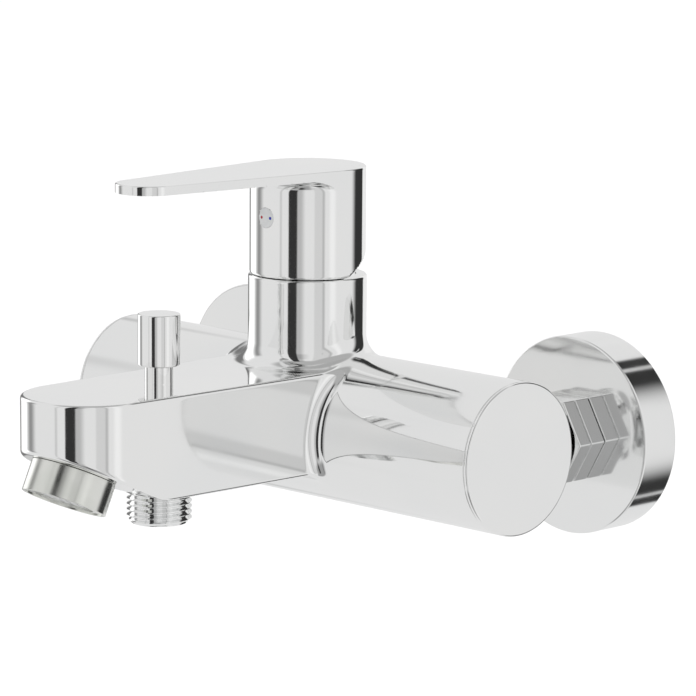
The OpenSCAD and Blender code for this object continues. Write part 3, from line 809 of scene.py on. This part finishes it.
def mixed_passages(x, y, z):
    """Mixed water from the cartridge to the diverter."""
    back = mixed_room_back
    front = mixed_room_front
    port_y = y - neck_y + mixed_port_front
    down = cylinder(x, port_y, z, mixed_port_r, mixed_port_bottom, seat_low + 1)
    bore = cylinder(x, z - mixed_bore_z, y, mixed_bore_r, back - 1, neck_y - mixed_port_front)
    room = np.maximum(np.abs(x) - nose_r + spout_wall, between(y, front, back))
    room = np.maximum(room, between(z, spout_bottom + spout_wall, cavity_top))
    link = cylinder(x, z - link_z, y, link_r, diverter_y, front + 1)
    return joined(down, bore, room, link)


def diverter_passages(p):
    """The diverter's rooms, the way on to the aerator, and the aerator's port."""
    x, y, z = p.T
    v = y - diverter_y
    upper = cylinder(x, v, z, divert_chamber_r, web_top, cavity_top)
    guide_boss = cylinder(x, v, z, guide_boss_r, guide_low[2], cavity_top + 1)
    rooms = joined(
        cylinder(x, v, z, spigot_r, spout_bottom - 8, lower_seat_z),
        cylinder(x, v, z, divert_chamber_r, lower_seat_z, web_z),
        cylinder(x, v, z, outlet_bore_r, web_z - 1, web_top + 1),
        np.maximum(upper, -guide_boss),
        cylinder(x, v, z, guide_r, web_top, guide_high[2]),
        cylinder(x, v, z, rod_r + 0.1, guide_low[2], boss_top + 1))
    feed_end = diverter_y - guide_boss_r - 0.4
    feed = cylinder(x, z - feed_z, y, feed_r, aerator_centre[1] + 6, feed_end)
    arm = p - aerator_centre
    depth = arm @ aerator_axis
    beside = np.sqrt(np.maximum((arm * arm).sum(1) - depth * depth, 0))
    port = np.maximum(beside - aerator_thread_r, between(depth, -aerator_thread_length - 1.6, 1))
    throat = np.maximum(beside - aerator_feed_r, between(depth, -throat_depth, 0))
    return joined(rooms, feed, port, throat)


def casting_distance(p):
    """The whole casting, with its seat for the cartridge and its passages cut out."""
    x, y, z = p.T
    holes = joined(
        supply_passages(x, y, z),
        mixed_passages(x, y, z),
        diverter_passages(p),
        cylinder(x, y - neck_y, z, seat_r, seat_low, mouth_z + 1),
        cylinder(x, y - neck_y, z, mouth_r, mouth_z, neck_top + 1))
    return np.maximum(casting_outside(p), -holes)


def make_casting():
    """The chrome casting that everything else is fixed to."""
    piece = add_contour("casting", casting_distance, casting_low, casting_high, CELL,
                        CASTING_TRIANGLES, materials["chrome"])
    place(piece, "faucet", "chrome", "body_casting")


# ---------- handle


def lever_plan(x, y):
    """Distance to the lever's outline: two circles and their common tangents."""
    reach = neck_y - tip_y
    lean = (handle_r - tip_r) / reach
    upright = math.sqrt(1 - lean * lean)
    u = np.abs(x)
    v = neck_y - y
    along = -lean * u + upright * v
    side = upright * u + lean * v - handle_r
    distance = np.where(along > upright * reach, np.hypot(u, v - reach) - tip_r, side)
    return np.where(along < 0, np.hypot(u, v) - handle_r, distance)


def handle_distance(p):
    """Lever plate blended into its hollow cylinder, with the hub, the screw's way and the relief."""
    x, y, z = p.T
    v = y - neck_y
    plan = lever_plan(x, y)
    wall = np.hypot(x, v) - handle_r
    barrel = np.maximum(rounded_and(wall, handle_bottom - z, barrel_edge), z - handle_top + 1)
    plate = rounded_and(plan, between(z, plate_bottom, handle_top), plate_edge)
    under = np.maximum(filleted_or(wall, plate_bottom - z, under_fillet), plan)
    under = np.maximum(under, between(z, plate_bottom - under_fillet - 0.5, plate_bottom + 1))
    outside = joined(barrel, plate, under)
    bore = cylinder(x, v, z, handle_bore_r, handle_bottom - 1, handle_roof)
    hub = cylinder(x, v, z, hub_r, hub_bottom, plate_bottom)
    screw_boss = cylinder(x, z - screw_z, v, screw_boss_r, -handle_bore_r - 1, 0)
    bore = np.maximum(bore, -joined(hub, screw_boss))
    socket = np.maximum(np.abs(x) - stem_high[0] - 0.1,
                        between(v, -socket_half_depth, socket_half_depth))
    socket = np.maximum(socket, between(z, hub_bottom - 1, stem_high[2] + 0.5))
    screw_way = cylinder(x, z - screw_z, v, screw_r, -handle_bore_r - 1, 0)
    cap_way = cylinder(x, z - screw_z, v, indicator_r, -handle_r - 1, -handle_bore_r - 0.3)
    relief = v * -math.sin(relief_angle) + (z - handle_bottom) * math.cos(relief_angle)
    holes = joined(bore, socket, screw_way, cap_way)
    return np.maximum(rounded_and(outside, -relief, relief_edge), -holes)


def make_handle():
    """The lever with its plate, barrel and hub."""
    piece = add_contour("handle", handle_distance, lever_low, lever_high, CELL,
                        HANDLE_TRIANGLES, materials["chrome"])
    place(piece, "handle", "chrome", "handle_lever")


# ---------- end caps


def make_end_cap(side, direction):
    """A flat disc with a hollow spigot and a groove for its seal."""
    seal_middle = tube_end - (tube_end - cap_spigot_end) / 2
    groove_r = cap_spigot_r - 2 * cap_seal_r
    bore_r = cap_spigot_r - 3.5
    cap = Turned(Round(192))
    cap.profile([
        (0, tube_end - 1), (bore_r, tube_end - 1), (bore_r, cap_spigot_end, 0.3),
        (cap_spigot_r, cap_spigot_end, 0.4), (cap_spigot_r, seal_middle - cap_seal_r),
        (groove_r, seal_middle - cap_seal_r), (groove_r, seal_middle + cap_seal_r),
        (cap_spigot_r, seal_middle + cap_seal_r), (cap_spigot_r, tube_end),
        (tube_r, tube_end, joint_edge), (tube_r, cap_end, cap_edge), (0, cap_end)])
    piece = cap.piece("cap_" + side, (0, tube_y, 0), (direction, 0, 0), materials["chrome"])
    place(piece, "faucet", "chrome", "end_cap_" + side)


# ---------- wall connection


def make_rosette(side, x):
    """A deep round cover, open towards the wall."""
    inside_r = rosette_r - rosette_wall
    front = rosette_depth
    cover = Turned(Round(224))
    cover.profile([
        (inside_r, 0), (rosette_r, 0, 0.3), (rosette_r, front, 0.7), (rosette_hole_r, front, 0.2),
        (rosette_hole_r, front - rosette_wall), (inside_r, front - rosette_wall, 1.2), (inside_r, 0)])
    piece = cover.piece("cover_" + side, (x, 0, 0), (0, -1, 0), satin_chrome)
    place(piece, "faucet", "chrome", "rosette_" + side)


def make_union_nut(side, x):
    """A hexagon nut in two bands, with a fine groove between them."""
    wall_end, front = -nut_high[1], -nut_low[1]
    flat = nut_width / 2
    low, high = nut_groove - nut_groove_width / 2, nut_groove + nut_groove_width / 2
    groove = flat - nut_groove_depth
    section = Hexagon(flat)
    nut = Turned(section)
    first, last = nut.profile([
        (flat - 0.9, wall_end), (flat, wall_end, 0.4), (flat, low, 0.25), (groove, low, 0.1),
        (groove, high, 0.1), (flat, high, 0.25), (flat, front, 0.4), (flat - 0.9, front)])
    bore_first, bore_last = nut.profile([
        (nut_neck_r, front), (nut_neck_r, nut_flange), (nut_bore_r, nut_flange),
        (nut_bore_r, wall_end)], section.round)
    nut.bridge(last, bore_first, 1)
    nut.bridge(bore_last, first, -1)
    piece = nut.piece("nut_" + side, (x, 0, 0), (0, -1, 0), materials["chrome"])
    place(piece, "faucet", "chrome", "union_nut_" + side)


def make_inlet_tail(side, x):
    """The plated stub that the union nut pulls against the washer."""
    tail_low, tail_high = box_mm("inlet_tail_" + side)
    wall_end, front = -tail_high[1], -tail_low[1]
    flange_r = (tail_high[2] - tail_low[2]) / 2
    tail = Turned(Round(96))
    tail.profile([
        (tail_bore_r, wall_end), (flange_r, wall_end, 0.3), (flange_r, nut_flange, 0.3),
        (tail_r, nut_flange, 0.3), (tail_r, front, 0.3), (tail_bore_r, front),
        (tail_bore_r, wall_end)])
    piece = tail.piece("tail_" + side, (x, 0, 0), (0, -1, 0), materials["chrome"])
    place(piece, "faucet", "brass", "inlet_tail_" + side)


def make_wall_union(side, x):
    """A hollow stud with a pipe thread, a hexagon, and the thread for the union nut."""
    flat = union_hexagon / 2
    section = Hexagon(flat)
    union = Turned(section)
    _, inner = union.profile([
        (union_bore_r, union_low[1]), (union_thread_r - 1.1, union_low[1])], section.round)
    start, end = union.thread(union_thread_r, union_low[1], union_hexagon_y, pipe_pitch, 1, "first")
    union.bridge(inner, start, -1)
    first, last = union.profile([
        (flat - 1, union_hexagon_y), (flat, union_hexagon_y, 0.4), (flat, 0, 0.4), (flat - 1, 0)])
    union.bridge(end, first, -1)
    foot, tip = union.thread(union_r, 0, union_high[1], pipe_pitch, 1.1, "last")
    union.bridge(last, foot, 1)
    outer, _ = union.profile([
        (union_r - 1.3, union_high[1]), (union_bore_r, union_high[1], 0.3),
        (union_bore_r, union_low[1])], section.round)
    union.bridge(tip, outer, 1)
    piece = union.piece("union_" + side, (x, 0, 0), (0, 1, 0), materials["chrome"])
    place(piece, "faucet", "chrome", "wall_union_" + side)


# ---------- trim dome, aerator and diverter


def make_trim_dome():
    """The shallow cap between the handle and the body."""
    rim_r = mouth_r - 0.1
    dome = Turned(Round())
    dome.profile([
        (dome_hole_r, dome_inner_z), (rim_r, dome_low[2], 0.15), (rim_r, dome_shoulder_z, 0.4),
        (dome_knee_r, dome_knee_z, 3), (dome_hole_r, dome_high[2], 0.3),
        (dome_hole_r, dome_inner_z)])
    piece = dome.piece("dome", (0, neck_y, 0), (0, 0, 1), materials["chrome"])
    place(piece, "faucet", "chrome", "trim_dome")


def make_aerator_housing():
    """The housing under the nose, with the lip that holds the sieve in."""
    thread_r = aerator_thread_r - 0.05
    thread_start = -aerator_thread_length
    rim_r = aerator_r - aerator_rim
    lip_r = aerator_lip_r
    lip_start = aerator_length - aerator_lip
    housing = Turned(Round(192))
    _, inner = housing.profile([
        (lip_r, lip_start), (aerator_bore_r, lip_start), (aerator_bore_r, thread_start),
        (thread_r - 0.9, thread_start)])
    start, end = housing.thread(thread_r, thread_start, 0.05, 1, 0.6, "first")
    housing.bridge(inner, start, -1)
    first, _ = housing.profile([
        (aerator_thread_r - 0.5, 0.05), (aerator_r, 0.05, 0.3), (aerator_r, aerator_length, 0.25),
        (rim_r, aerator_length, 0.15), (rim_r, aerator_length - 0.5), (lip_r, aerator_length - 0.3),
        (lip_r, lip_start)])
    housing.bridge(end, first, -1)
    piece = housing.piece(
        "aerator", aerator_centre, aerator_axis, materials["aerator_chrome"])
    place(piece, "faucet", "aerator_chrome", "aerator_housing")


def make_shower_outlet():
    """The nipple for the shower hose, with its thread, and its spigot up in the spout."""
    top, foot, tip = -outlet_high[2], -spout_bottom, -outlet_low[2]
    groove_r = spigot_r - 2 * outlet_seal_r
    low, high = outlet_seal_depth - outlet_seal_r, outlet_seal_depth + outlet_seal_r
    nipple = Turned(Round())
    bore, shoulder = nipple.profile([
        (outlet_bore_r, tip), (outlet_bore_r, top, 0.3), (spigot_r, top, 0.3), (spigot_r, low),
        (groove_r, low), (groove_r, high), (spigot_r, high), (spigot_r, foot)])
    start, end = nipple.thread(outlet_r, foot, tip, pipe_pitch, 1.4, "last")
    nipple.bridge(shoulder, start, -1)
    nipple.bridge(end, bore, 1)
    piece = nipple.piece("outlet", (0, diverter_y, 0), (0, 0, -1), materials["chrome"])
    place(piece, "faucet", "chrome", "shower_outlet")


def make_rod():
    """The diverter's rod, with the collar that its spring rests on."""
    collar_low, collar_high = seals_high[2], spring_low[2] - spring_gap
    rod = Turned(Round(96))
    rod.profile([
        (0, rod_low[2]), (rod_r, rod_low[2], 0.3), (rod_r, collar_low), (collar_r, collar_low, 0.3),
        (collar_r, collar_high, 0.3), (rod_r, collar_high), (rod_r, rod_high[2], 0.3),
        (0, rod_high[2])])
    piece = rod.piece("rod", (0, diverter_y, 0), (0, 0, 1), materials["steel"])
    place(piece, "diverter", "steel", "diverter_rod")


def knob_distance(p):
    """The knob, with its socket for the rod, its recess over the boss and its screw's hole."""
    x, y, z = p.T
    v = y - diverter_y
    wall = np.hypot(x, v)
    outside = rounded_and(wall - knob_r, between(z, knob_low[2], knob_high[2]), 0.5)
    socket = cylinder(x, v, z, rod_r, knob_low[2] - 1, rod_high[2])
    recess = cylinder(x, v, z, knob_recess_r, knob_low[2] - 1, knob_recess_top)
    screw_hole = cylinder(x, z - knob_screw_z, v, knob_screw_r, 0, knob_r + 1)
    return np.maximum(outside, -joined(socket, recess, screw_hole))


def make_knob():
    """The diverter's pull knob."""
    piece = add_contour("knob", knob_distance, knob_low, knob_high, KNOB_CELL,
                        KNOB_TRIANGLES, materials["chrome"])
    place(piece, "diverter", "chrome", "diverter_knob")


make_casting()
make_handle()
make_knob()
make_rod()
make_trim_dome()
make_aerator_housing()
make_shower_outlet()
for side_name, direction in SIDES:
    make_end_cap(side_name, direction)
    make_rosette(side_name, direction * inlet_x)
    make_union_nut(side_name, direction * inlet_x)
    make_wall_union(side_name, direction * inlet_x)
    make_inlet_tail(side_name, direction * inlet_x)


# ---------- camera, floor and light

CAMERA_AZIMUTH = math.radians(45.16)
CAMERA_ELEVATION = math.radians(9.69)
CAMERA_ROLL = math.radians(0.38)
CAMERA_PLACE = Vector((0.9129, -0.9545, 0.2418))


def make_camera():
    """A long lens, from the right of the faucet and a little above it."""
    sin_a, cos_a = math.sin(CAMERA_AZIMUTH), math.cos(CAMERA_AZIMUTH)
    sin_e, cos_e = math.sin(CAMERA_ELEVATION), math.cos(CAMERA_ELEVATION)
    back = Vector((sin_a * cos_e, -cos_a * cos_e, sin_e))
    right = Vector((cos_a, sin_a, 0))
    up = back.cross(right)
    rolled_right = math.cos(CAMERA_ROLL) * right + math.sin(CAMERA_ROLL) * up
    rolled_up = math.cos(CAMERA_ROLL) * up - math.sin(CAMERA_ROLL) * right
    data = bpy.data.cameras.new("camera")
    data.lens = 202.25
    data.sensor_width = 36
    data.shift_x = 0.0118
    data.shift_y = 0.0049
    camera = bpy.data.objects.new("camera", data)
    axes = Matrix((rolled_right, rolled_up, back)).transposed()
    camera.matrix_world = Matrix.Translation(CAMERA_PLACE) @ axes.to_4x4()
    bpy.context.scene.collection.objects.link(camera)
    bpy.context.scene.camera = camera


def make_floor():
    """A wide pale floor below the faucet, which its mirror surfaces look past."""
    half = 12
    height = -0.3
    corners = [(-half, -half, height), (half, -half, height), (half, half, height),
               (-half, half, height)]
    mesh = bpy.data.meshes.new("floor")
    mesh.from_pydata(corners, [], [(0, 1, 2, 3)])
    mesh.materials.append(new_material("pale_floor", (0.95, 0.95, 0.95), 0, 0.9)[0])
    floor = bpy.data.objects.new("floor", mesh)
    bpy.context.scene.collection.objects.link(floor)
    floor.visible_glossy = False


# Turn from +X to the camera's side. The strips' azimuths are degrees to the right of it, seen from
# the faucet.
CAMERA_SIDE = -44.84
STRIP_END_BLUR = 5
TENT_RADIANCE = 0.8
DARKEST = 0.035
# left, right, blur at the left, blur at the right, lowest, highest, change in radiance
STRIPS = (
    (-171, -156, 3, 2, -30, 26, -0.6),
    (-151, -125, 2, 4, -28, 30, 0.5),
    (-119, -103, 6, 8, -28, 28, -0.5),
    (-56, -52, 2, 2, -60, 60, -0.2),
    (-37.5, -20, 1, 1.5, -34, 62, -0.78),
    (-20, -8, 1, 6, -60, 62, -0.3),
    (14, 35, 2, 2, -60, 60, -0.13),
    (30, 34, 2, 2, -60, 60, -0.18),
    (45, 57, 4, 5, -60, 60, 0.12),
    (104, 139, 8, 2, -53, 53, -0.78),
    (123.5, 127.5, 1, 1, 38, 52, 0.7),
    (123.5, 127.5, 1, 1, -52, -38, 0.7),
    (139, 165, 2, 5, -30, 30, 0.08),
    (-70, 10, 10, 10, -85, -38, -0.45),
    (-22, 2, 5, 6, 20, 48, -0.13),
    (-200, 200, 5, 5, 60, 100, -0.35),
)


class World:
    """Builds the studio's light as a function of the direction it comes from."""

    def __init__(self):
        world = bpy.data.worlds.new("studio")
        world.use_nodes = True
        bpy.context.scene.world = world
        self.tree = world.node_tree
        self.tree.nodes.clear()
        place = self.tree.nodes.new("ShaderNodeTexCoord")
        split = self.tree.nodes.new("ShaderNodeSeparateXYZ")
        self.tree.links.new(place.outputs["Generated"], split.inputs[0])
        x, y, z = split.outputs
        turn = self.math("ARCTAN2", y, x)
        shifted = self.math("ADD", turn, 3 * math.pi - math.radians(CAMERA_SIDE))
        wrapped = self.math("MODULO", shifted, 2 * math.pi)
        self.azimuth = self.math("SUBTRACT", wrapped, math.pi)
        self.elevation = self.math("ARCSINE", z)

    def math(self, operation, first, second=None):
        """The result of a sum whose terms are numbers or outputs of other nodes."""
        node = self.tree.nodes.new("ShaderNodeMath")
        node.operation = operation
        for socket, value in zip(node.inputs, (first, second)):
            if value is None:
                continue
            if isinstance(value, (int, float)):
                socket.default_value = value
            else:
                self.tree.links.new(value, socket)
        return node.outputs[0]

    def step(self, value, start, stop):
        """0 before start and 1 after stop, with a smooth slope between them."""
        node = self.tree.nodes.new("ShaderNodeMapRange")
        node.interpolation_type = "SMOOTHSTEP"
        node.inputs["From Min"].default_value = start
        node.inputs["From Max"].default_value = stop
        self.tree.links.new(value, node.inputs["Value"])
        return node.outputs["Result"]

    def strip(self, left, right, left_blur, right_blur, low, high):
        """1 between two azimuths and two elevations, in degrees, and 0 outside them."""
        rise = self.step(
            self.azimuth, math.radians(left - left_blur), math.radians(left + left_blur))
        fall = self.step(
            self.azimuth, math.radians(right - right_blur), math.radians(right + right_blur))
        bottom, top = (
            self.step(self.elevation, math.radians(end - STRIP_END_BLUR),
                      math.radians(end + STRIP_END_BLUR)) for end in (low, high))
        return self.math("MULTIPLY", self.math("SUBTRACT", rise, fall),
                         self.math("SUBTRACT", bottom, top))

    def finish(self, radiance):
        """Mirrors and surfaces see the studio, and the camera sees a clean backdrop."""
        backdrop = self.tree.nodes.new("ShaderNodeLightPath").outputs["Is Camera Ray"]
        seen = self.math("MAXIMUM", radiance, backdrop)
        light = self.tree.nodes.new("ShaderNodeBackground")
        output = self.tree.nodes.new("ShaderNodeOutputWorld")
        self.tree.links.new(seen, light.inputs["Color"])
        self.tree.links.new(light.outputs[0], output.inputs["Surface"])


def make_studio():
    """A bright tent with dark strips beside the camera and behind the faucet."""
    world = World()
    radiance = TENT_RADIANCE
    for left, right, left_blur, right_blur, low, high, change in STRIPS:
        strip = world.strip(left, right, left_blur, right_blur, low, high)
        radiance = world.math("ADD", world.math("MULTIPLY", strip, float(change)), radiance)
    world.finish(world.math("MAXIMUM", radiance, DARKEST))
    lamp = bpy.data.lights.new("overhead", "SUN")
    lamp.angle = math.radians(60)
    lamp.energy = 1.6
    light = bpy.data.objects.new("overhead", lamp)
    light.visible_glossy = False
    bpy.context.scene.collection.objects.link(light)


make_camera()
make_floor()
make_studio()
bpy.context.scene.view_settings.view_transform = "Standard"

# Every CAD node takes the finish of its slot
for subpart in frame["record"]["subparts"]:
    node = frame["nodes"][subpart["node"]]
    node.data.materials.clear()
    node.data.materials.append(materials[subpart["material_slot"]])
